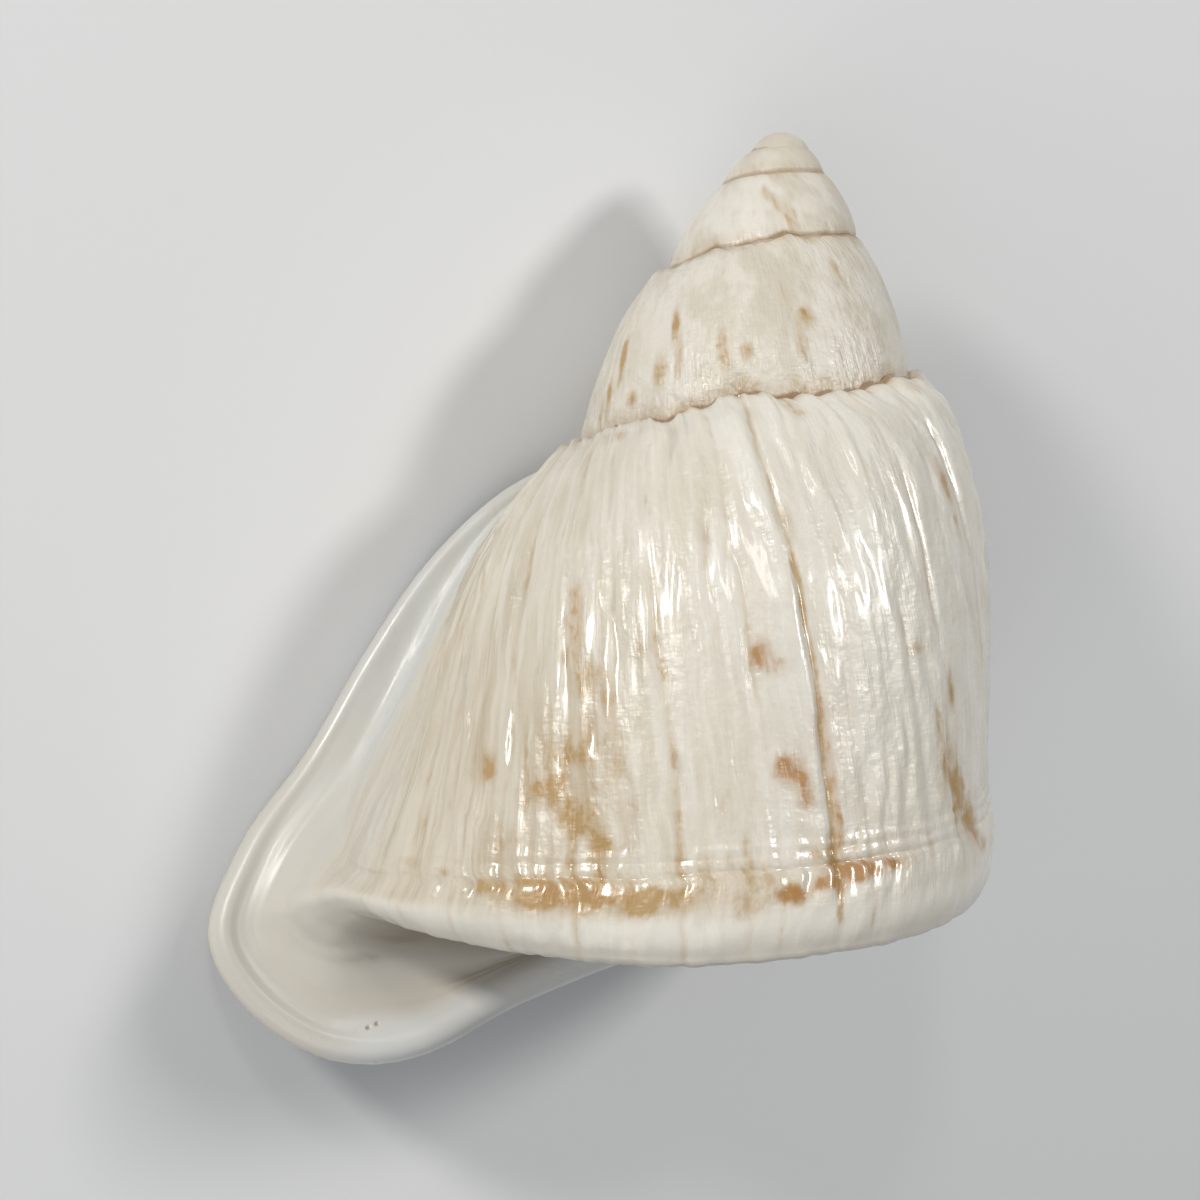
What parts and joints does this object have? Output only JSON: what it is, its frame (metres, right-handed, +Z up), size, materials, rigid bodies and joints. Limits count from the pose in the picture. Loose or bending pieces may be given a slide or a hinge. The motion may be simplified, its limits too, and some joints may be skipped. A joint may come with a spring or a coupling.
{
  "type": "land snail shell",
  "caption": "Empty land snail shell: tall right-handed spire, keeled last whorl and a flared, rolled-back white lip, lying on its aperture side.",
  "frame": {"origin": "middle of the bounding box, on the surface the shell rests on", "axes": "+Z up; the apex of the spire points along +Y and the shell lies on its aperture side"},
  "size_m": [0.0378, 0.0508, 0.0273],
  "materials": {
    "shell": "glossy off-white shell lime with fine growth wrinkles, faint tan stains and a white lip"
  },
  "bodies": {
    "root": {"shell": "shell"}
  },
  "joints": []
}
